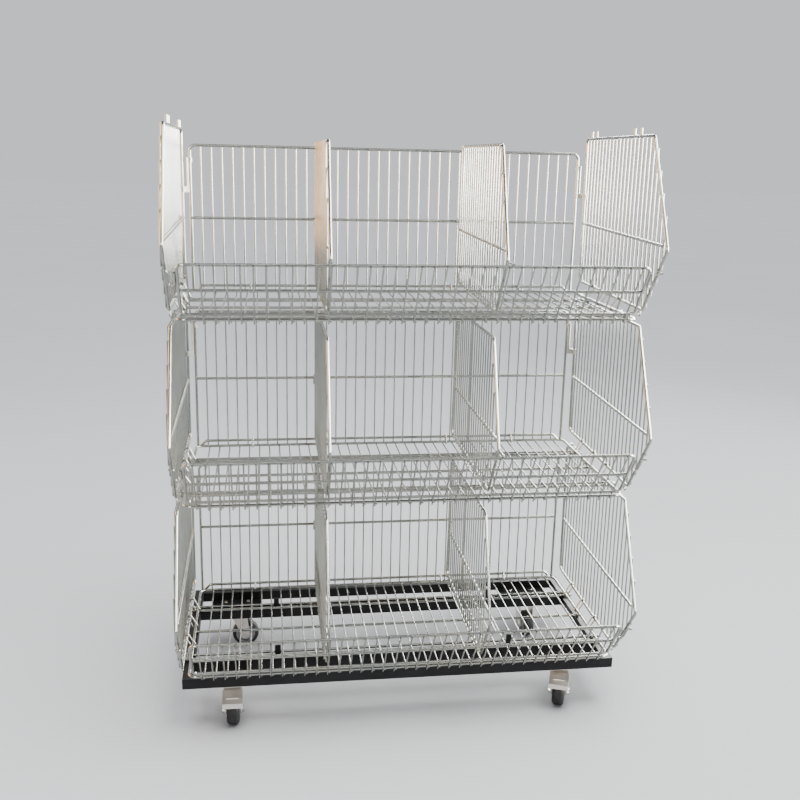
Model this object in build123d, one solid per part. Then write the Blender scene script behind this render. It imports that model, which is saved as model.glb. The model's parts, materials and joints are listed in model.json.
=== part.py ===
from build123d import *
import os

# Stacking wire basket trolley: three welded-wire baskets on a tube base with four swivel castors.
# Millimetres. X to the right, Y to the back, Z up, floor at Z = 0 and the middle of the depth at Y = 0.

# ---------------------------------------------------------------- overall
CASTOR_HEIGHT = 93.0        # floor to the underside of the base tubes
BACK_PLANE_Y = 241.2        # where the back panels stand
TIER_COUNT = 3
TIER_PITCH = 361.0          # one basket above the next
RUNNING_GAP = 0.3           # daylight between pieces that move against each other
RUNNING_FIT = 0.05          # radial clearance of a pin in its bearing

# ---------------------------------------------------------------- wire sizes
RAIL_D = 6.0                # outlines, rails and runners
INFILL_D = 3.2              # close-set wires
LINK_D = 3.0
HOOK_D = 4.0
ARM_D = 4.0
PIN_D = 5.0
LAYER = (RAIL_D + INFILL_D) / 2     # infill lies tangent to the rails
INFILL_PITCH = 434.0 / 19
INFILL_HALF_COUNT = 18
FLOOR_WIRE_SHIFT = 4.0      # floor wires pass beside the upright ones

# ---------------------------------------------------------------- base frame
TUBE_W = 20.0
TUBE_H = 22.0
TUBE_WALL = 1.5
BASE_HALF = 452.0
FRONT_RAIL_Y = -388.0
FRONT_CROSS_Y = -323.5
REAR_CROSS_Y = -87.0
REAR_RAIL_Y = 10.0
TAB_SIZE = (12.0, 3.0, 23.0)
TAB_SLOTS = (-11.5, 10.5)   # in floor wire pitches, so each tab passes between two wires
MOUNT_PLATE = (118.0, 77.0, 3.0)
MOUNT_PLATE_X = 353.0

# ---------------------------------------------------------------- castors
CASTORS = (
    # name, x, y, heading of the trail about Z, braked
    ("front_left", -352.0, -357.0, 0.0, True),
    ("front_right", 352.0, -357.0, -21.0, True),
    ("rear_left", -352.0, -40.0, 90.0, False),
    ("rear_right", 352.0, -40.0, 8.0, False),
)
WHEEL_R = 31.0
TYRE_W = 26.0
TYRE_SHOULDER = 8.0
HUB_R = 22.0
HUB_BOSS = (9.0, 30.0)      # radius, length over both sides
AXLE_D = 8.0
AXLE_HALF = 23.0
TRAIL = 20.0
AXLE_Z = WHEEL_R - CASTOR_HEIGHT
TOP_PLATE = 76.0
TOP_PLATE_T = 2.5
SCREW_X = 26.5
SCREW_Y = 28.0
SCREW_D = 5.0
SCREW_HOLE_D = 5.2
NUT_AF = 8.0
NUT_H = 4.0
PAN_HEAD = (4.5, 2.5)       # radius, height
RACE = (24.0, 7.0)          # radius, depth
KINGPIN_R = 5.0
KINGPIN_HEAD = (8.0, 2.5)
CROWN_R = 22.0
CROWN_T = 5.9
LEG_IN = 15.5
LEG_OUT = 18.0
PEDAL_PIVOT = (-38.0, -27.0)
PEDAL_PIN_D = 5.0
PEDAL_IN = 18.4
PEDAL_OUT = 20.4
PEDAL_TREAD = ((-30.0, -12.0), (-62.0, -24.8), 2.15)    # y, z of both ends, upright thickness
PEDAL_LIP = (-62.0, -35.5, 2.0)                         # y, lower edge, sheet
PEDAL_RIDGE = (-51.0, -20.2, 1.2)

# ---------------------------------------------------------------- basket
RUNNER_HALF = 456.0
RUNNER_Z = 25.3
RUNNER_Y = (-81.0, -98.0, -306.5, -323.5)
CENTRE_RAIL_Y = -203.0
CENTRE_RAIL_HALF = 440.0
FLOOR_WIRE_Z = RUNNER_Z + LAYER
LOOP_Z = FLOOR_WIRE_Z + LAYER
LOOP_HALF = 437.0
LOOP_REAR_Y = -8.0
LOOP_FRONT_Y = -411.5
LOOP_CORNER = 15.0

BACK_HALF = 434.0
BACK_TOP_Z = 347.0
BACK_FOOT_Z = 29.0
BACK_CORNER = 12.0
MID_RAIL_Z = 193.0
BACK_LOW_Z = 45.0

SIDE_X = 450.0
SIDE_TOP_Z = 380.0
SIDE_OUTLINE = (
    # y, z, bend radius
    (-11.0, 380.0, 9.0),
    (-398.5, 380.0, 9.0),
    (-501.0, 176.0, 9.0),
    (-406.0, 52.0, 9.0),
    (-20.0, 62.0, 9.0),
)
SIDE_MID = ((-12.6, 193.6), (-476.0, 182.0))
SIDE_WIRE_FIRST_Y = -21.0
SIDE_WIRE_PITCH = 20.5
SIDE_WIRE_COUNT = 23
EYE = (-392.0, 43.3, 4.5, 1.5)      # y, z, ring radius, wire radius
STACK_PIN_Y = (-43.0, -73.0, -297.0, -331.0)
STACK_PIN_TOP = 396.0

LINK_SLOTS = (4.5, 8.5, 12.5)       # in side wire pitches, so each link hangs between two wires
BACK_LINK_SLOTS = (-13.5, -6.5, 6.5, 13.5)

LEAN = 34.85                # front panel leans out by this much
PANEL_HALF = 428.0
PANEL_RAIL_OUT = 0.3        # rails' plane, outside the hinge line
PANEL_LOW = 14.0
PANEL_MID = 72.0
PANEL_TOP = 132.0
PANEL_CORNER = 12.0
PANEL_WIRE_OUT = PANEL_RAIL_OUT + LAYER
PANEL_WIRE_ENDS = (-6.0, 134.4)
CURL_STEP = 6               # every sixth upright is curled round the floor rail
J_HOOK_WELD = 114.0         # up the panel: top of the welded leg
J_HOOK_LOW = 84.0           # bottom of the turn
J_HOOK_HIGH = 118.0         # where the wire crosses the side panel's edge
J_HOOK_LEGS = 12.4          # from one leg to the other
J_HOOK_X = 455.0
J_HOOK_BENDS = (6.0, 4.0)   # turn, crossing

DIVIDER_X = 161.0
DIVIDER_OUTLINE = (
    (-40.0, 357.0, 10.0),
    (-390.0, 357.0, 10.0),
    (-470.0, 152.0, 10.0),
    (-400.0, 48.0, 9.0),
    (-14.0, 60.0, 9.0),
)
DIVIDER_MID = ((-25.9, 177.0), (-460.2, 169.0))
DIVIDER_WIRE_FIRST_Y = -40.0
DIVIDER_WIRE_PITCH = 20.5
DIVIDER_WIRE_COUNT = 20
REAR_ARM_LEG_Y = 5.5
REAR_ARM_START_Y = -34.0
REAR_ARM_LEG_Z = 176.0
FRONT_ARM_END_Y = -494.2

LATCH_TOP_Z = 321.0
LATCH_LOW_Z = 248.0
LATCH_EYE_R = 4.8
LATCH_EYE_H = 10.0
LATCH_HOOK_Y = -14.6
LATCH_HOOK_R = (3.6, 5.6)
LATCH_HOOK_H = 12.0
LATCH_STRIP = (4.4, 9.0, 2.0)      # from, to, thickness, measured away from the eye


# ================================================================ helpers
def rod(start, end, diameter):
    """Straight round wire."""
    axis = Vector(*end) - Vector(*start)
    return Solid.make_cylinder(diameter / 2, axis.length, Plane(origin=start, z_dir=axis))


def bend_line(points, radii, closed):
    """Centre line through the points with a round bend at each corner."""
    count = len(points)
    nodes = [Vector(*p) for p in points]
    edges = []
    last = None
    first = None
    for i in range(count):
        ends = not closed and i in (0, count - 1)
        if ends:
            enter = leave = nodes[i]
            arc = None
        else:
            back = (nodes[i - 1] - nodes[i]).normalized()
            ahead = (nodes[(i + 1) % count] - nodes[i]).normalized()
            half = back.get_angle(ahead) / 2
            reach = radii[i] / tan_deg(half)
            enter = nodes[i] + back * reach
            leave = nodes[i] + ahead * reach
            bisector = (back + ahead).normalized()
            middle = nodes[i] + bisector * (radii[i] / sin_deg(half) - radii[i])
            arc = Edge.make_three_point_arc(enter, middle, leave)
        if last is not None:
            edges.append(Edge.make_line(last, enter))
        else:
            first = enter
        if arc is not None:
            edges.append(arc)
        last = leave
    if closed:
        edges.append(Edge.make_line(last, first))
    return edges


def sin_deg(angle):
    return Vector(1, 0, 0).rotate(Axis.Z, angle).Y


def cos_deg(angle):
    return Vector(1, 0, 0).rotate(Axis.Z, angle).X


def tan_deg(angle):
    return sin_deg(angle) / cos_deg(angle)


def bent(points, radii, diameter, closed=False):
    """Round wire bent along the points, as its straight runs and its bends."""
    return [along(edge, diameter) for edge in bend_line(points, radii, closed)]


def along(edge, diameter):
    """Round wire along one edge of a centre line."""
    if edge.geom_type == GeomType.LINE:
        return rod(edge @ 0, edge @ 1, diameter)
    start = Plane(origin=edge @ 0, z_dir=edge % 0)
    return Solid.sweep(Wire.make_circle(diameter / 2, start), Wire([edge]))


def in_side_plane(x, profile):
    """Turns (y, z, radius) rows into 3-D points and bend radii."""
    return [(x, y, z) for y, z, r in profile], [r for y, z, r in profile]


def height_on(profile, y, first, last):
    """Height of the outline's polyline at depth y, walking corners first..last."""
    for i in range(first, last):
        y0, z0, _ = profile[i]
        y1, z1, _ = profile[i + 1]
        if min(y0, y1) <= y <= max(y0, y1):
            return z0 + (z1 - z0) * (y - y0) / (y1 - y0)
    return profile[last][1]


def upright_wires(x, profile, first_y, pitch, count):
    """Close-set wires between the lower and the upper run of a profiled outline."""
    wires = []
    for i in range(count):
        y = first_y - i * pitch
        top = height_on(profile, y, 0, 2)
        low = height_on(profile, y, 2, 4)
        wires.append(rod((x, y, low - 1.0), (x, y, top + 1.0), INFILL_D))
    return wires


def save(node, solids, lift=0.0):
    """Writes one sub-part in the shared frame."""
    shift = Location((0, BACK_PLANE_Y, CASTOR_HEIGHT + lift))
    flat = []
    for item in solids:
        flat.extend(item.solids())
    group = Compound(children=[s.moved(shift) for s in flat])
    group.label = node
    export_step(group, f"parts/{node}.step")


# ================================================================ base frame
def tube(length, along_x):
    size = (length, TUBE_W) if along_x else (TUBE_W, length)
    hollow = (length, TUBE_W - 2 * TUBE_WALL) if along_x else (TUBE_W - 2 * TUBE_WALL, length)
    outer = Box(size[0], size[1], TUBE_H)
    inner = Box(hollow[0], hollow[1], TUBE_H - 2 * TUBE_WALL)
    return Pos(0, 0, TUBE_H / 2) * (outer - inner)


def screw_spots():
    """Every castor screw: x, y, and whether it hangs in a rear plate."""
    spots = []
    for name, x, y, heading, braked in CASTORS:
        for dx in (-SCREW_X, SCREW_X):
            for dy in (-SCREW_Y, SCREW_Y):
                spots.append((x + dx, y + dy, not braked))
    return spots


def drilled(body):
    """Cuts the castor screw holes through the lower walls."""
    for x, y, rear in screw_spots():
        body = body - Pos(x, y, 0) * Cylinder(SCREW_HOLE_D / 2, 3 * MOUNT_PLATE[2])
    return body


def base_nodes():
    inner_half = BASE_HALF - TUBE_W
    side_length = (REAR_RAIL_Y - TUBE_W / 2) - (FRONT_RAIL_Y + TUBE_W / 2)
    side_mid = ((REAR_RAIL_Y - TUBE_W / 2) + (FRONT_RAIL_Y + TUBE_W / 2)) / 2
    save("base_front_rail", [drilled(Pos(0, FRONT_RAIL_Y, 0) * tube(2 * BASE_HALF, True))])
    save("base_front_cross_rail", [drilled(Pos(0, FRONT_CROSS_Y, 0) * tube(2 * inner_half, True))])
    save("base_rear_cross_rail", [Pos(0, REAR_CROSS_Y, 0) * tube(2 * inner_half, True)])
    save("base_rear_rail", [Pos(0, REAR_RAIL_Y, 0) * tube(2 * BASE_HALF, True)])
    for name, side in (("left", -1), ("right", 1)):
        x = side * (BASE_HALF - TUBE_W / 2)
        save(f"base_{name}_rail", [Pos(x, side_mid, 0) * tube(side_length, False)])
    save("base_end_caps", end_caps())
    save("base_castor_plates", castor_plates())
    save("base_stop_tabs", stop_tabs())
    save("base_screws", screws())


def end_caps():
    caps = []
    thick = 2 * TUBE_WALL
    cap = Box(thick, TUBE_W - 2 * TUBE_WALL, TUBE_H - 2 * TUBE_WALL)
    for side in (-1, 1):
        for y in (FRONT_RAIL_Y, REAR_RAIL_Y):
            caps.append(Pos(side * (BASE_HALF - thick / 2), y, TUBE_H / 2) * cap)
    return caps


def castor_plates():
    plates = []
    y = (REAR_RAIL_Y - TUBE_W / 2 + REAR_CROSS_Y + TUBE_W / 2) / 2
    for side in (-1, 1):
        plate = Pos(side * MOUNT_PLATE_X, y, MOUNT_PLATE[2] / 2) * Box(*MOUNT_PLATE)
        plates.append(drilled(plate))
    return plates


def stop_tabs():
    tabs = []
    front_y = (RUNNER_Y[2] + RUNNER_Y[3]) / 2
    rear_y = (RUNNER_Y[0] + RUNNER_Y[1]) / 2
    for slot in TAB_SLOTS:
        x = slot * INFILL_PITCH + FLOOR_WIRE_SHIFT
        for y in (front_y, rear_y):
            tabs.append(Pos(x, y, TUBE_H + TAB_SIZE[2] / 2) * Box(*TAB_SIZE))
    return tabs


def hexagon(across_flats, height):
    return extrude(RegularPolygon(across_flats / 2, 6, major_radius=False), height)


def screws():
    """Rear: pan head above the plate and a nut below. Front: hexagon head below the tube."""
    group = []
    for x, y, rear in screw_spots():
        under = Pos(x, y, -TOP_PLATE_T - NUT_H) * hexagon(NUT_AF, NUT_H)
        if rear:
            length = MOUNT_PLATE[2] + TOP_PLATE_T + NUT_H + 0.5
            shank = Pos(x, y, MOUNT_PLATE[2] - length / 2) * Cylinder(SCREW_D / 2, length)
            head = Cylinder(PAN_HEAD[0], PAN_HEAD[1])
            head = Pos(x, y, MOUNT_PLATE[2] + PAN_HEAD[1] / 2) * fillet(head.edges().sort_by(Axis.Z)[-1], 1.5)
            group.append(head + shank + under)
        else:
            length = TOP_PLATE_T + 8.0
            shank = Pos(x, y, -TOP_PLATE_T + length / 2) * Cylinder(SCREW_D / 2, length)
            group.append(shank + under)
    return group


# ================================================================ castors
def castor_top_plate():
    plate = extrude(RectangleRounded(TOP_PLATE, TOP_PLATE, 6), -TOP_PLATE_T)
    for dx in (-SCREW_X, SCREW_X):
        for dy in (-SCREW_Y, SCREW_Y):
            plate = plate - Pos(dx, dy, 0) * Cylinder(SCREW_HOLE_D / 2, 4 * TOP_PLATE_T)
    race = Cylinder(RACE[0], RACE[1])
    race = Pos(0, 0, -TOP_PLATE_T - RACE[1] / 2) * chamfer(race.edges().sort_by(Axis.Z)[0], 2)
    race_low = -TOP_PLATE_T - RACE[1]
    head_top = race_low - CROWN_T - 2 * RUNNING_GAP
    pin = Pos(0, 0, (race_low + head_top) / 2) * Cylinder(KINGPIN_R, race_low - head_top)
    head = Pos(0, 0, head_top - KINGPIN_HEAD[1] / 2) * Cylinder(*KINGPIN_HEAD)
    return plate + race + pin + head


def fork_leg(braked):
    """Outline of one fork leg in the (y, z) plane."""
    outline = make_face(Polyline((14, -11), (-24, -11), (-29.6, -60), (-10.4, -58), (14, -11)))
    outline += Pos(-TRAIL, AXLE_Z) * Circle(10)
    if braked:
        py, pz = PEDAL_PIVOT
        lug = make_face(Polyline((-10, -11), (-24, -11), (-42.3, -22.8), (-40.5, -32.5), (-26, -42), (-10, -11)))
        outline += lug
        outline += Pos(py, pz) * Circle(6)
    return outline


def along_x(profile, x0, x1):
    """Extrudes a (y, z) profile between two x positions."""
    plane = Plane(origin=(x0, 0, 0), x_dir=(0, 1, 0), z_dir=(1, 0, 0))
    return extrude(plane * profile, x1 - x0)


def castor_fork(braked):
    crown_top = -TOP_PLATE_T - RACE[1] - RUNNING_GAP
    fork = Pos(0, 0, crown_top - CROWN_T / 2) * Cylinder(CROWN_R, CROWN_T)
    fork += Pos(0, -5, crown_top - CROWN_T / 2) * Box(2 * LEG_OUT, 38, CROWN_T)
    for side in (-1, 1):
        lo, hi = sorted((side * LEG_IN, side * LEG_OUT))
        fork += along_x(fork_leg(braked), lo, hi)
    fork -= Pos(0, 0, crown_top - CROWN_T / 2) * Cylinder(KINGPIN_R + RUNNING_FIT, 2 * CROWN_T)
    fork -= along_x(Pos(-TRAIL, AXLE_Z) * Circle(AXLE_D / 2), -AXLE_HALF, AXLE_HALF)
    if braked:
        py, pz = PEDAL_PIVOT
        fork += along_x(Pos(py, pz) * Circle(PEDAL_PIN_D / 2), -PEDAL_OUT - 1, PEDAL_OUT + 1)
    return fork


def castor_axle():
    axle = along_x(Pos(-TRAIL, AXLE_Z) * Circle(AXLE_D / 2), -AXLE_HALF, AXLE_HALF)
    for side in (-1, 1):
        lo, hi = sorted((side * LEG_OUT, side * (AXLE_HALF - 1)))
        hexed = RegularPolygon(AXLE_D * 0.8, 6, major_radius=False)
        axle += along_x(Pos(-TRAIL, AXLE_Z) * hexed, lo, hi)
    return axle


def turned(profile):
    """Revolves an (x, radius) profile about the wheel's own axis."""
    plane = Plane(origin=(0, -TRAIL, AXLE_Z), x_dir=(1, 0, 0), z_dir=(0, -1, 0))
    return revolve(plane * profile, Axis((0, -TRAIL, AXLE_Z), (1, 0, 0)))


def castor_hub():
    bore = AXLE_D / 2 + RUNNING_FIT
    half = TYRE_W / 2
    radius, length = HUB_BOSS
    profile = make_face(Polyline(
        (-length / 2, bore), (length / 2, bore), (length / 2, radius), (4, radius + 1),
        (4, HUB_R - 4), (half - 0.5, HUB_R - 3), (half - 0.5, HUB_R), (-half + 0.5, HUB_R),
        (-half + 0.5, HUB_R - 3), (-4, HUB_R - 4), (-4, radius + 1), (-length / 2, radius),
        (-length / 2, bore)))
    return turned(profile)


def castor_tyre():
    half = TYRE_W / 2
    band = Pos(0, (HUB_R + WHEEL_R) / 2) * Rectangle(TYRE_W, WHEEL_R - HUB_R)
    outer = band.vertices().sort_by(Axis.Y)[-2:]
    return turned(fillet(outer, TYRE_SHOULDER))


def brake_pedal():
    """Pressed sheet: two cheeks on the pin, a sloping tread between them, a lip and the brake shoe."""
    py, pz = PEDAL_PIVOT
    (y0, z0), (y1, z1), thick = PEDAL_TREAD
    lip_y, lip_z, sheet = PEDAL_LIP
    cheek = make_face(Polyline((y0, z0), (y1, z1), (lip_y, lip_z), (py, pz - 6), (py + 7, pz), (y0, z0)))
    cheek += Pos(py, pz) * Circle(6)
    hole = Pos(py, pz) * Circle(PEDAL_PIN_D / 2 + RUNNING_FIT)
    pedal = along_x(cheek - hole, PEDAL_IN, PEDAL_OUT)
    pedal += along_x(cheek - hole, -PEDAL_OUT, -PEDAL_IN)
    tread = make_face(Polyline((y0, z0), (y1, z1), (y1, z1 - thick), (y0, z0 - thick), (y0, z0)))
    lip = Pos(lip_y - sheet / 2, (z1 + lip_z) / 2) * Rectangle(sheet, z1 - lip_z)
    pedal += along_x(tread + lip, -PEDAL_OUT, PEDAL_OUT)
    ridge_y, ridge_z, ridge_r = PEDAL_RIDGE
    pedal += along_x(Pos(ridge_y, ridge_z) * Circle(ridge_r), -12, 12)
    shoe = Pos(-47.5, -28.4) * Rectangle(7, 13)
    pedal += along_x(shoe, -9, 9)
    return pedal


def castor_nodes():
    plates = []
    for name, x, y, heading, braked in CASTORS:
        place = Pos(x, y, 0) * Rot(0, 0, heading)
        plates.append(Pos(x, y, 0) * castor_top_plate())
        save(f"castor_{name}_fork", [place * castor_fork(braked)])
        save(f"castor_{name}_axle", [place * castor_axle()])
        save(f"castor_{name}_hub", [place * castor_hub()])
        save(f"castor_{name}_tyre", [place * castor_tyre()])
        if braked:
            save(f"castor_{name}_pedal", [place * brake_pedal()])
    save("castor_top_plates", plates)


# ================================================================ basket
def floor_grid():
    wires = [rod((-RUNNER_HALF, y, RUNNER_Z), (RUNNER_HALF, y, RUNNER_Z), RAIL_D) for y in RUNNER_Y]
    wires.append(rod((-CENTRE_RAIL_HALF, CENTRE_RAIL_Y, RUNNER_Z),
                     (CENTRE_RAIL_HALF, CENTRE_RAIL_Y, RUNNER_Z), RAIL_D))
    for i in range(-INFILL_HALF_COUNT, INFILL_HALF_COUNT + 1):
        x = i * INFILL_PITCH + FLOOR_WIRE_SHIFT
        wires.append(rod((x, LOOP_REAR_Y + 2, FLOOR_WIRE_Z), (x, LOOP_FRONT_Y, FLOOR_WIRE_Z), INFILL_D))
    corners = [(-LOOP_HALF, LOOP_REAR_Y, LOOP_Z), (LOOP_HALF, LOOP_REAR_Y, LOOP_Z),
               (LOOP_HALF, LOOP_FRONT_Y, LOOP_Z), (-LOOP_HALF, LOOP_FRONT_Y, LOOP_Z)]
    wires += bent(corners, [LOOP_CORNER] * 4, RAIL_D, closed=True)
    return wires


def back_panel():
    outline = [(-BACK_HALF, 0, BACK_FOOT_Z), (-BACK_HALF, 0, BACK_TOP_Z),
               (BACK_HALF, 0, BACK_TOP_Z), (BACK_HALF, 0, BACK_FOOT_Z)]
    inside = BACK_HALF - RAIL_D / 2
    crank = 12.0
    low = [(-inside + 3.2, 0, BACK_LOW_Z - crank), (-inside + 3.2 + crank, 0, BACK_LOW_Z),
           (inside - 3.2 - crank, 0, BACK_LOW_Z), (inside - 3.2, 0, BACK_LOW_Z - crank)]
    wires = bent(outline, [0, BACK_CORNER, BACK_CORNER, 0], RAIL_D)
    wires.append(rod((-inside, 0, MID_RAIL_Z), (inside, 0, MID_RAIL_Z), RAIL_D))
    wires += bent(low, [0, 8, 8, 0], RAIL_D)
    for i in range(-INFILL_HALF_COUNT, INFILL_HALF_COUNT + 1):
        x = i * INFILL_PITCH
        wires.append(rod((x, LAYER, BACK_FOOT_Z), (x, LAYER, BACK_TOP_Z + 1.5), INFILL_D))
    return wires


def side_panel(side):
    x = side * SIDE_X
    points, radii = in_side_plane(x, SIDE_OUTLINE)
    wires = bent(points, radii, RAIL_D, closed=True)
    top_run = 1
    pins = [rod((x, y, SIDE_TOP_Z), (x, y, STACK_PIN_TOP), PIN_D) for y in STACK_PIN_Y]
    wires[top_run] = wires[top_run].fuse(*pins)
    outer = side * (SIDE_X + LAYER)
    y0, z0 = SIDE_MID[0]
    y1, z1 = SIDE_MID[1]
    wires.append(rod((x, y0 - 6, z0), (x, y1, z1), RAIL_D))
    wires += upright_wires(outer, SIDE_OUTLINE, SIDE_WIRE_FIRST_Y, SIDE_WIRE_PITCH, SIDE_WIRE_COUNT)
    eye_y, eye_z, ring, wire_r = EYE
    wires.append(Solid.make_torus(ring, wire_r, Plane(origin=(x, eye_y, eye_z), z_dir=(1, 0, 0))))
    return wires


def link(start, end, across):
    """Oval wire link round two parallel rails; across is the rails' direction."""
    a = Vector(*start)
    b = Vector(*end)
    along = (b - a).normalized()
    out = along.cross(Vector(*across)).normalized() * (RAIL_D / 2 + LINK_D / 2 + RUNNING_FIT)
    tip = along * (RAIL_D / 2 + LINK_D / 2 + RUNNING_FIT)
    edges = [Edge.make_line(a + out, b + out),
             Edge.make_three_point_arc(b + out, b + tip, b - out),
             Edge.make_line(b - out, a - out),
             Edge.make_three_point_arc(a - out, a - tip, a + out)]
    path = Wire(edges)
    return Solid.sweep(Wire.make_circle(LINK_D / 2, Plane(origin=path @ 0, z_dir=path % 0)), path)


def hinge_links():
    links = []
    for side in (-1, 1):
        for slot in LINK_SLOTS:
            y = SIDE_WIRE_FIRST_Y - slot * SIDE_WIRE_PITCH
            low = height_on(SIDE_OUTLINE, y, 2, 4)
            links.append(link((side * LOOP_HALF, y, LOOP_Z), (side * SIDE_X, y, low), (0, 1, 0)))
    for slot in BACK_LINK_SLOTS:
        x = slot * INFILL_PITCH
        links.append(link((x, LOOP_REAR_Y, LOOP_Z), (x, 0, BACK_LOW_Z), (1, 0, 0)))
    return links


def panel_point(x, out, up):
    """A point of the leaning front panel: out from the hinge line's plane, up along the lean."""
    y = LOOP_FRONT_Y - up * sin_deg(LEAN) - out * cos_deg(LEAN)
    z = LOOP_Z + up * cos_deg(LEAN) - out * sin_deg(LEAN)
    return (x, y, z)


def curled_upright(x):
    """Upright wire whose foot is curled round the floor's front rail."""
    reach = PANEL_WIRE_OUT
    top = Vector(*panel_point(x, reach, PANEL_WIRE_ENDS[1]))
    foot = Vector(*panel_point(x, reach, 0))
    under = Vector(*panel_point(x, 0, -reach))
    behind = Vector(*panel_point(x, -reach, 0))
    curl = Edge.make_three_point_arc(foot, under, behind)
    return [rod(foot, top, INFILL_D), along(curl, INFILL_D)]


def front_panel():
    rail = PANEL_RAIL_OUT
    corners = [panel_point(-PANEL_HALF, rail, PANEL_LOW), panel_point(PANEL_HALF, rail, PANEL_LOW),
               panel_point(PANEL_HALF, rail, PANEL_TOP), panel_point(-PANEL_HALF, rail, PANEL_TOP)]
    wires = bent(corners, [PANEL_CORNER] * 4, RAIL_D, closed=True)
    inside = PANEL_HALF - RAIL_D / 2
    wires.append(rod(panel_point(-inside, rail, PANEL_MID), panel_point(inside, rail, PANEL_MID), RAIL_D))
    for i in range(-INFILL_HALF_COUNT, INFILL_HALF_COUNT + 1):
        x = i * INFILL_PITCH
        if i % CURL_STEP == 0:
            wires += curled_upright(x)
        else:
            low, top = PANEL_WIRE_ENDS
            wires.append(rod(panel_point(x, PANEL_WIRE_OUT, low), panel_point(x, PANEL_WIRE_OUT, top), INFILL_D))
    for side in (-1, 1):
        wires += j_hook(side)
    return wires


def j_hook(side):
    """Keeps the panel from folding inwards: crosses in front of the side panel's edge."""
    out = PANEL_RAIL_OUT
    inner = side * (PANEL_HALF + (RAIL_D + HOOK_D) / 2)
    outer = inner + side * J_HOOK_LEGS
    end = side * J_HOOK_X
    turn, crossing = J_HOOK_BENDS
    points = [panel_point(inner, out, J_HOOK_WELD),
              panel_point(inner, out, J_HOOK_LOW),
              panel_point(outer, out, J_HOOK_LOW),
              panel_point(outer, out, J_HOOK_HIGH),
              panel_point(end, out, J_HOOK_HIGH)]
    return bent(points, [0, turn, turn, crossing, 0], HOOK_D)


def divider(side):
    x = side * DIVIDER_X
    points, radii = in_side_plane(x, DIVIDER_OUTLINE)
    wires = bent(points, radii, RAIL_D, closed=True)
    y0, z0 = DIVIDER_MID[0]
    y1, z1 = DIVIDER_MID[1]
    wires.append(rod((x, y0 - 4, z0), (x, y1, z1), RAIL_D))
    face = side * DIVIDER_X - LAYER     # both dividers carry their wires on the left
    wires += upright_wires(face, DIVIDER_OUTLINE, DIVIDER_WIRE_FIRST_Y, DIVIDER_WIRE_PITCH, DIVIDER_WIRE_COUNT)
    hook_x = side * (DIVIDER_X + (RAIL_D + ARM_D) / 2)
    arm_z = MID_RAIL_Z + RAIL_D / 2 + RUNNING_GAP + ARM_D / 2
    rear = [(hook_x, REAR_ARM_START_Y, arm_z), (hook_x, REAR_ARM_LEG_Y, arm_z), (hook_x, REAR_ARM_LEG_Y, REAR_ARM_LEG_Z)]
    wires += bent(rear, [0, 2.6, 0], ARM_D)
    lip_z = panel_point(0, PANEL_RAIL_OUT, PANEL_TOP)[2]
    rest_z = lip_z + RAIL_D / 2 + RUNNING_GAP + ARM_D / 2
    wires.append(rod((hook_x, -452, rest_z), (hook_x, FRONT_ARM_END_Y, rest_z), ARM_D))
    return wires


def corner_latch(side):
    """Stamped strip: an eye on the back panel's upright and a hook for the side panel's upright."""
    dx = SIDE_X - BACK_HALF
    reach = Vector(dx, LATCH_HOOK_Y, 0)
    angle = -Vector(1, 0, 0).get_angle(reach)
    turn = Rot(0, 0, angle)
    bore = RAIL_D / 2 + RUNNING_FIT
    eye_z = LATCH_TOP_Z - LATCH_EYE_H
    eye = extrude(Circle(LATCH_EYE_R) - Circle(bore), LATCH_EYE_H)
    body = Pos(0, 0, eye_z) * eye
    r0, r1, thick = LATCH_STRIP
    strip_h = LATCH_TOP_Z - LATCH_LOW_Z
    strip = Pos((r0 + r1) / 2, 0, LATCH_LOW_Z + strip_h / 2) * Box(r1 - r0, thick, strip_h)
    body += turn * strip
    far = reach.length
    inner, outer = LATCH_HOOK_R
    ring = Circle(outer) - Circle(inner)
    keep = Pos(0, -outer) * Rectangle(4 * outer, 2 * outer)
    hook = extrude(ring & keep, LATCH_HOOK_H)
    body += turn * Pos(far, 0, LATCH_LOW_Z) * hook
    tail = Pos((r1 + far - inner) / 2 - 0.4, -0.5 * thick, LATCH_LOW_Z + LATCH_HOOK_H / 2)
    body += turn * tail * Box(far - inner - r1 + 0.4, thick, LATCH_HOOK_H)
    body = Pos(BACK_HALF, 0, 0) * body
    if side < 0:
        body = mirror(body, about=Plane.YZ)
    return body


def basket_nodes():
    floor = floor_grid()
    back = back_panel()
    links = hinge_links()
    front = front_panel()
    for k in range(TIER_COUNT):
        tier = f"tier{k + 1}"
        lift = k * TIER_PITCH
        save(f"{tier}_floor_grid", floor, lift)
        save(f"{tier}_back_panel", back, lift)
        save(f"{tier}_hinge_links", links, lift)
        save(f"{tier}_front_panel", front, lift)
    for name, side in (("left", -1), ("right", 1)):
        panel = side_panel(side)
        insert = divider(side)
        latch = corner_latch(side)
        for k in range(TIER_COUNT):
            tier = f"tier{k + 1}"
            lift = k * TIER_PITCH
            save(f"{tier}_{name}_side", panel, lift)
            save(f"{tier}_{name}_divider", insert, lift)
            save(f"{tier}_{name}_latch", [latch], lift)


os.makedirs("parts", exist_ok=True)
base_nodes()
castor_nodes()
basket_nodes()
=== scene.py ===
"""Looks for the three-tier wire basket trolley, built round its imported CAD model."""

import json
import math

import bpy
from mathutils import Matrix, Vector


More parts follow.
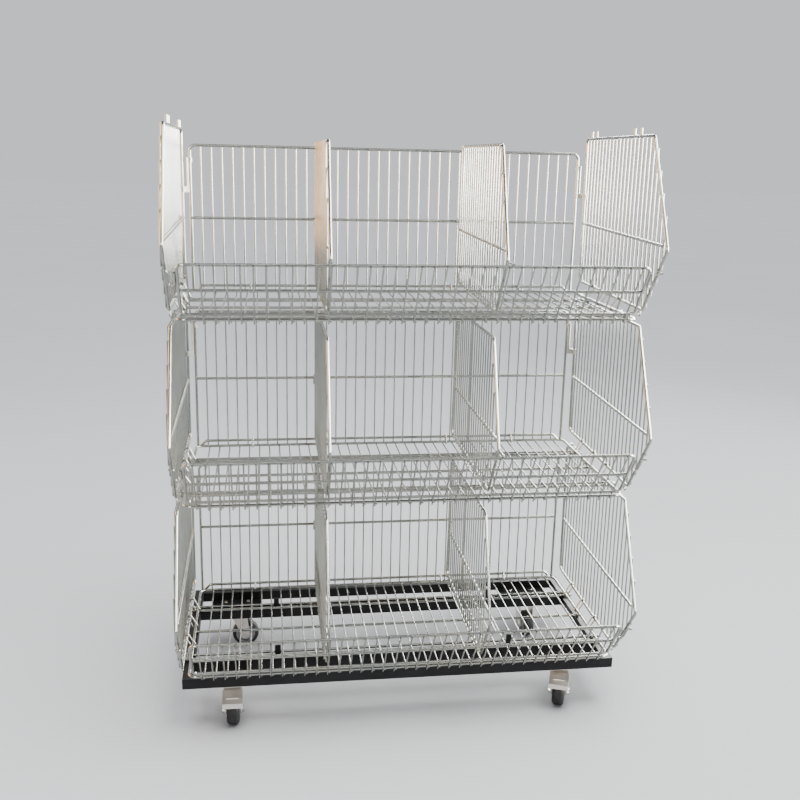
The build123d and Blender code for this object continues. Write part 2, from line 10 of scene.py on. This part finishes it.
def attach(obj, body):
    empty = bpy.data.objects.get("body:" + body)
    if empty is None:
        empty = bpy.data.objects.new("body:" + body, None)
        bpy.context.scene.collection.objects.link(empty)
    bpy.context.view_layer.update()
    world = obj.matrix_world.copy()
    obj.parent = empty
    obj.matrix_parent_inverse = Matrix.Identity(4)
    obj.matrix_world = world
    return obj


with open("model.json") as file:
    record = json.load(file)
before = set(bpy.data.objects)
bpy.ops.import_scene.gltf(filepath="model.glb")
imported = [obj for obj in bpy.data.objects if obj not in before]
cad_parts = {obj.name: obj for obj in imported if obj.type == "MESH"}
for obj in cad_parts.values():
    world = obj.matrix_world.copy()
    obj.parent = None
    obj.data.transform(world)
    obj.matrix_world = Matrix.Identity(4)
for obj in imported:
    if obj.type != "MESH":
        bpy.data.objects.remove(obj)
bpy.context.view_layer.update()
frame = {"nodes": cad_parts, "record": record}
NODES = frame["nodes"]

# ---------------------------------------------------------------- camera, metres and radians
CAMERA_AT = Vector((-0.2793, -1.9414, 1.1390))
CAMERA_YAW = 0.1437
CAMERA_PITCH = 0.2437
CAMERA_ROLL = 0.0226
CAMERA_LENS_MM = 43.28
CAMERA_SENSOR_MM = 36.0

# ---------------------------------------------------------------- studio
FLOOR_HALF = 40.0
FLOOR_COLOUR = (0.73, 0.745, 0.77)
FLOOR_PATCHES = 0.96                    # how much darker the floor's faint clouds are
ROOM_COLOUR = (0.16, 0.16, 0.17)        # the dim room before the object
BACKDROP_COLOUR = (0.775, 0.785, 0.81)  # the lit side behind it
CEILING_COLOUR = (0.40, 0.40, 0.42)
ROOM_TO_BACKDROP = (-0.2, 0.7)          # where one fades into the next, as parts of a sky direction
WALLS_TO_CEILING = (0.2, 0.6)
OVERHEAD = (2.2, 50.0)                  # strength, degrees across: soft light that only shapes shadows
TOP_LAMP = ((0.6, -0.9, 3.4), (0.0, 0.0, 0.3), 2.4, 1.8, 125.0, (1.0, 0.99, 0.97))
REFLECTORS = (
    # place, aim, width, height, watts, tint: what the bright wires mirror
    ((-1.6, -3.1, 1.80), (0.0, 0.0, 1.4), 1.3, 1.9, 120.0, (1.0, 0.90, 0.82)),
    ((3.0, -1.8, 1.80), (0.0, 0.0, 1.4), 1.7, 1.9, 460.0, (1.0, 1.0, 1.0)),
    ((3.0, 0.9, 1.55), (0.0, 0.0, 1.1), 2.6, 2.4, 720.0, (1.0, 1.0, 1.0)),
    ((2.1, 2.9, 1.65), (-0.4, 0.0, 1.1), 1.8, 2.1, 380.0, (1.0, 1.0, 1.0)),
    ((-2.9, 1.3, 1.55), (0.0, 0.0, 1.1), 2.8, 1.7, 175.0, (1.0, 0.53, 0.22)),
    ((0.2, -1.5, 3.0), (0.0, 0.0, 0.7), 3.0, 0.4, 34.0, (1.0, 1.0, 1.0)),
)

# ---------------------------------------------------------------- bright metals
ZINC_TONES = {
    # clean metal, warm bloom, dull handling marks, roughness from and to
    "zinc_wire": ((0.305, 0.32, 0.30), (0.345, 0.34, 0.295), (0.245, 0.25, 0.245), 0.12, 0.18),
    "zinc_plate": ((0.38, 0.38, 0.37), (0.42, 0.40, 0.35), (0.28, 0.28, 0.27), 0.26, 0.38),
    "castor_steel": ((0.62, 0.60, 0.57), (0.66, 0.61, 0.55), (0.46, 0.45, 0.43), 0.30, 0.44),
    "bright_screws": ((0.55, 0.55, 0.56), (0.57, 0.55, 0.51), (0.40, 0.40, 0.40), 0.20, 0.34),
}

# ---------------------------------------------------------------- spot welds, millimetres in one tier
TIERS = 3
TIER_PITCH = 361.0
TIER_ORIGIN = Vector((0.0, 241.2, 93.0))
UPRIGHTS = [i * 434.0 / 19 for i in range(-18, 19)]
FLOOR_SHIFT = 4.0
RUNNER_TOP_Z = 28.3
LOOP_UNDER_Z = 31.5
FLOOR_RAILS = [(y, RUNNER_TOP_Z) for y in (-81.0, -98.0, -203.0, -306.5, -323.5)]
FLOOR_RAILS += [(y, LOOP_UNDER_Z) for y in (-8.0, -411.5)]
BACK_RAILS = (45.0, 193.0, 347.0)
RAIL_R = 3.0
SIDE_X = 450.0
SIDE_WIRES = [-21.0 - 20.5 * i for i in range(23)]
SIDE_RUNS = (
    # y, z from front to back along each rail that the side's wires cross
    ((-11.0, 380.0), (-398.5, 380.0), (-501.0, 176.0)),
    ((-12.6, 193.6), (-476.0, 182.0)),
    ((-29.0, 62.0), (-406.0, 52.0), (-501.0, 176.0)),
)
DIVIDER_X = 161.0
DIVIDER_WIRES = [-40.0 - 20.5 * i for i in range(20)]
DIVIDER_RUNS = (
    ((-49.0, 357.0), (-390.0, 357.0), (-470.0, 152.0)),
    ((-25.9, 177.0), (-460.2, 169.0)),
    ((-14.0, 60.0), (-400.0, 48.0), (-470.0, 152.0)),
)
FRONT_HINGE = (-411.5, 34.5)
FRONT_LEAN = math.radians(34.85)
FRONT_RAILS = (14.0, 72.0, 132.0)       # up the leaning panel
FRONT_WELD_OUT = 3.3
WELD_WIDE = 2.1
WELD_THICK = 1.25
WELD_SEGMENTS = 8
WELD_RINGS = 4
MM = 1000.0


# ================================================================ shader helpers
def blend(nodes, links, factor, first, second):
    """Mix of two colours, each a tuple or a socket."""
    node = nodes.new("ShaderNodeMix")
    node.data_type = "RGBA"
    links.new(factor, node.inputs["Factor"])
    for socket, value in ((node.inputs[6], first), (node.inputs[7], second)):
        if isinstance(value, tuple):
            socket.default_value = (*value, 1.0)
        else:
            links.new(value, socket)
    return node.outputs[2]


def step(nodes, links, value, start, end):
    """Smooth 0 to 1 as the value goes from start to end."""
    node = nodes.new("ShaderNodeMapRange")
    node.interpolation_type = "SMOOTHSTEP"
    node.inputs["From Min"].default_value = start
    node.inputs["From Max"].default_value = end
    links.new(value, node.inputs["Value"])
    return node.outputs["Result"]


class Look:
    """Builds one node material step by step."""

    def __init__(self, name):
        self.material = bpy.data.materials.new(name)
        self.material.use_nodes = True
        self.nodes = self.material.node_tree.nodes
        self.links = self.material.node_tree.links
        self.shader = self.nodes["Principled BSDF"]
        self.place = self.nodes.new("ShaderNodeTexCoord").outputs["Object"]

    def constant(self, **values):
        for key, value in values.items():
            self.shader.inputs[key.replace("_", " ")].default_value = value

    def noise(self, scale, detail):
        """Noise that rides with the piece, with scale in cells per metre."""
        node = self.nodes.new("ShaderNodeTexNoise")
        node.inputs["Scale"].default_value = scale
        node.inputs["Detail"].default_value = detail
        self.links.new(self.place, node.inputs["Vector"])
        return node.outputs["Fac"]

    def spread(self, factor, low, high, start=0.3, end=0.7):
        """Maps the range start..end of a factor onto low..high."""
        node = self.nodes.new("ShaderNodeMapRange")
        node.inputs["From Min"].default_value = start
        node.inputs["From Max"].default_value = end
        node.inputs["To Min"].default_value = low
        node.inputs["To Max"].default_value = high
        self.links.new(factor, node.inputs["Value"])
        return node.outputs["Result"]

    def patches(self, scale, detail, start=0.3, end=0.7):
        """Soft patches, 0 outside and 1 inside."""
        return self.spread(self.noise(scale, detail), 0.0, 1.0, start, end)

    def mix(self, factor, first, second):
        return blend(self.nodes, self.links, factor, first, second)

    def colour(self, socket):
        self.links.new(socket, self.shader.inputs["Base Color"])

    def roughness(self, scale, detail, low, high):
        socket = self.spread(self.noise(scale, detail), low, high)
        self.links.new(socket, self.shader.inputs["Roughness"])

    def bump(self, scale, detail, strength, distance):
        height = self.noise(scale, detail)
        node = self.nodes.new("ShaderNodeBump")
        node.inputs["Strength"].default_value = strength
        node.inputs["Distance"].default_value = distance
        self.links.new(height, node.inputs["Height"])
        self.links.new(node.outputs["Normal"], self.shader.inputs["Normal"])


# ================================================================ materials
def zinc(name, cool, warm, dull, rough_low, rough_high):
    """Bright plating: cool silver with a warm passivation bloom, dull handling marks and fine grain."""
    look = Look(name)
    look.constant(Metallic=1.0)
    bloom = look.patches(scale=5.0, detail=3.0, start=0.40, end=0.70)
    marks = look.patches(scale=16.0, detail=4.0, start=0.52, end=0.74)
    look.colour(look.mix(marks, look.mix(bloom, cool, warm), dull))
    look.roughness(scale=30.0, detail=4.0, low=rough_low, high=rough_high)
    look.bump(scale=240.0, detail=2.0, strength=0.04, distance=0.0001)
    return look.material


def powder_coat():
    """Black satin powder coat: fine orange peel and dust in patches."""
    look = Look("black_powder_coat")
    look.constant(Metallic=0.0, Specular_IOR_Level=0.19)
    dust = look.patches(scale=14.0, detail=6.0, start=0.48, end=0.75)
    look.colour(look.mix(dust, (0.005, 0.005, 0.006), (0.012, 0.012, 0.013)))
    look.roughness(scale=38.0, detail=5.0, low=0.38, high=0.54)
    look.bump(scale=620.0, detail=2.0, strength=0.35, distance=0.0002)
    return look.material


def rubber():
    """Black tyre rubber: dusty tread and fine grain."""
    look = Look("tyre")
    look.constant(Metallic=0.0, Specular_IOR_Level=0.35)
    dust = look.patches(scale=70.0, detail=6.0, start=0.45, end=0.75)
    look.colour(look.mix(dust, (0.007, 0.007, 0.008), (0.024, 0.023, 0.022)))
    look.roughness(scale=110.0, detail=4.0, low=0.55, high=0.82)
    look.bump(scale=1100.0, detail=3.0, strength=0.30, distance=0.0002)
    return look.material


def hub_plastic():
    """Moulded grey hub with slight marbling and scuffs."""
    look = Look("hub_plastic")
    look.constant(Metallic=0.0)
    cloud = look.patches(scale=120.0, detail=5.0)
    look.colour(look.mix(cloud, (0.26, 0.27, 0.28), (0.40, 0.41, 0.42)))
    look.roughness(scale=260.0, detail=4.0, low=0.36, high=0.58)
    look.bump(scale=900.0, detail=2.0, strength=0.20, distance=0.0001)
    return look.material


def floor_paint():
    """Matt pale studio floor with faint clouds."""
    look = Look("studio_floor")
    cloud = look.patches(scale=0.8, detail=3.0)
    look.colour(look.mix(cloud, FLOOR_COLOUR, tuple(c * FLOOR_PATCHES for c in FLOOR_COLOUR)))
    look.constant(Roughness=0.85, Specular_IOR_Level=0.05)
    return look.material


LOOKS = {name: zinc(name, *tones) for name, tones in ZINC_TONES.items()}
LOOKS["black_powder_coat"] = powder_coat()
LOOKS["tyre"] = rubber()
LOOKS["hub_plastic"] = hub_plastic()


def dress_cad():
    """Gives every CAD node the finish of its own material slot."""
    for row in frame["record"]["subparts"]:
        node = NODES[row["node"]]
        node.data.materials.clear()
        node.data.materials.append(LOOKS[row["material_slot"]])


# ================================================================ spot welds
def height_on(run, y):
    """Height of a run of straight pieces at depth y, or None beyond its ends."""
    for (y0, z0), (y1, z1) in zip(run, run[1:]):
        if y1 <= y <= y0:
            return z0 + (z1 - z0) * (y - y0) / (y1 - y0)
    return None


def floor_spots():
    return [Vector((x + FLOOR_SHIFT, y, z)) for x in UPRIGHTS for y, z in FLOOR_RAILS]


def back_spots():
    return [Vector((x, RAIL_R, z)) for x in UPRIGHTS for z in BACK_RAILS]


def run_spots(x, wires, runs):
    """Crossings of upright wires with the rails of a side panel or divider in the plane x."""
    spots = [(y, height_on(run, y)) for y in wires for run in runs]
    return [Vector((x, y, z)) for y, z in spots if z is not None]


def front_spots():
    """Crossings on the leaning front panel."""
    back, rise = math.cos(FRONT_LEAN), math.sin(FRONT_LEAN)
    y, z = FRONT_HINGE
    return [Vector((x, y - back * FRONT_WELD_OUT - rise * up, z - rise * FRONT_WELD_OUT + back * up))
            for x in UPRIGHTS for up in FRONT_RAILS]


def nugget(centre, normal):
    """Points of one flattened squeeze-out, and its faces counted from its own first point."""
    side = normal.orthogonal().normalized()
    other = normal.cross(side)
    points = []
    for ring in range(1, WELD_RINGS):
        lift = math.pi * ring / WELD_RINGS
        above = normal * (math.cos(lift) * WELD_THICK)
        for k in range(WELD_SEGMENTS):
            turn = 2 * math.pi * k / WELD_SEGMENTS
            around = side * math.cos(turn) + other * math.sin(turn)
            points.append(centre + around * (math.sin(lift) * WELD_WIDE) + above)
    top, bottom = len(points), len(points) + 1
    points += [centre + normal * WELD_THICK, centre - normal * WELD_THICK]
    last = (WELD_RINGS - 2) * WELD_SEGMENTS
    faces = []
    for k in range(WELD_SEGMENTS):
        after = (k + 1) % WELD_SEGMENTS
        faces.append((top, k, after))
        for row in range(0, last, WELD_SEGMENTS):
            below = row + WELD_SEGMENTS
            faces.append((row + k, below + k, below + after, row + after))
        faces.append((bottom, last + after, last + k))
    return points, faces


def welds(name, body, groups, lift):
    """One mesh of spot welds; groups are (spots, normal)."""
    points, faces = [], []
    for spots, normal in groups:
        for spot in spots:
            ring, shell = nugget(spot, normal)
            faces += [tuple(len(points) + i for i in face) for face in shell]
            points += ring
    shift = TIER_ORIGIN + Vector((0.0, 0.0, lift))
    mesh = bpy.data.meshes.new(name)
    mesh.from_pydata([(p + shift) / MM for p in points], [], faces)
    mesh.polygons.foreach_set("use_smooth", [True] * len(mesh.polygons))
    mesh.materials.append(LOOKS["zinc_wire"])
    piece = bpy.data.objects.new(name, mesh)
    bpy.context.scene.collection.objects.link(piece)
    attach(piece, body)


def spot_welds():
    """Welds of every basket, front panel and divider."""
    across, deep, up = Vector((1, 0, 0)), Vector((0, 1, 0)), Vector((0, 0, 1))
    out = Vector((0, -math.cos(FRONT_LEAN), -math.sin(FRONT_LEAN)))
    basket = [(floor_spots(), up), (back_spots(), deep)]
    outer = SIDE_X + RAIL_R
    basket += [(run_spots(x, SIDE_WIRES, SIDE_RUNS), across) for x in (-outer, outer)]
    for k in range(TIERS):
        tier = f"tier{k + 1}"
        lift = k * TIER_PITCH
        welds(f"{tier}_basket_welds", tier, basket, lift)
        welds(f"{tier}_front_welds", f"{tier}_front_panel", [(front_spots(), out)], lift)
        for name, x in (("left", -DIVIDER_X), ("right", DIVIDER_X)):
            spots = run_spots(x - RAIL_R, DIVIDER_WIRES, DIVIDER_RUNS)
            node = f"{tier}_{name}_divider"
            welds(f"{node}_welds", node, [(spots, across)], lift)


# ================================================================ studio
def studio_floor():
    mesh = bpy.data.meshes.new("studio_floor")
    corners = [(x * FLOOR_HALF, y * FLOOR_HALF, 0) for x, y in ((-1, -1), (1, -1), (1, 1), (-1, 1))]
    mesh.from_pydata(corners, [], [(0, 1, 2, 3)])
    floor = bpy.data.objects.new("studio_floor", mesh)
    floor.data.materials.append(floor_paint())
    bpy.context.scene.collection.objects.link(floor)


def softbox(name, place, aim, width, height, watts, tint):
    """Rectangular lamp that the camera doesn't see directly."""
    data = bpy.data.lights.new(name, "AREA")
    data.shape = "RECTANGLE"
    data.size = width
    data.size_y = height
    data.energy = watts
    data.color = tint
    light = bpy.data.objects.new(name, data)
    light.location = place
    light.rotation_euler = (Vector(aim) - Vector(place)).to_track_quat("-Z", "Y").to_euler()
    light.visible_camera = False
    bpy.context.scene.collection.objects.link(light)
    return light


def surroundings():
    """A dim room in front, a lit backdrop behind and a grey ceiling."""
    world = bpy.data.worlds.new("studio")
    bpy.context.scene.world = world
    world.use_nodes = True
    nodes = world.node_tree.nodes
    links = world.node_tree.links
    direction = nodes.new("ShaderNodeTexCoord")
    split = nodes.new("ShaderNodeSeparateXYZ")
    links.new(direction.outputs["Generated"], split.inputs["Vector"])
    depth = step(nodes, links, split.outputs["Y"], *ROOM_TO_BACKDROP)
    height = step(nodes, links, split.outputs["Z"], *WALLS_TO_CEILING)
    around = blend(nodes, links, depth, ROOM_COLOUR, BACKDROP_COLOUR)
    sky = blend(nodes, links, height, around, CEILING_COLOUR)
    links.new(sky, nodes["Background"].inputs["Color"])


def studio_light():
    """Two lights that only shape the shadows, and the reflectors that the wires mirror."""
    sun = bpy.data.lights.new("overhead", "SUN")
    sun.energy, spread = OVERHEAD
    sun.angle = math.radians(spread)
    overhead = bpy.data.objects.new("overhead", sun)
    overhead.visible_glossy = False
    bpy.context.scene.collection.objects.link(overhead)
    softbox("top_lamp", *TOP_LAMP).visible_glossy = False
    for number, row in enumerate(REFLECTORS):
        softbox(f"reflector_{number}", *row).visible_diffuse = False


def camera():
    data = bpy.data.cameras.new("camera")
    data.lens = CAMERA_LENS_MM
    data.sensor_width = CAMERA_SENSOR_MM
    yaw, pitch, roll = CAMERA_YAW, CAMERA_PITCH, CAMERA_ROLL
    ahead = Vector((math.sin(yaw) * math.cos(pitch), math.cos(yaw) * math.cos(pitch), -math.sin(pitch)))
    level = Vector((math.cos(yaw), -math.sin(yaw), 0.0))
    above = level.cross(ahead)
    right = level * math.cos(roll) + above * math.sin(roll)
    up = above * math.cos(roll) - level * math.sin(roll)
    turn = Matrix((right, up, -ahead)).transposed().to_4x4()
    cam = bpy.data.objects.new("camera", data)
    cam.matrix_world = Matrix.Translation(CAMERA_AT) @ turn
    bpy.context.scene.collection.objects.link(cam)
    bpy.context.scene.camera = cam


dress_cad()
spot_welds()
studio_floor()
surroundings()
studio_light()
camera()
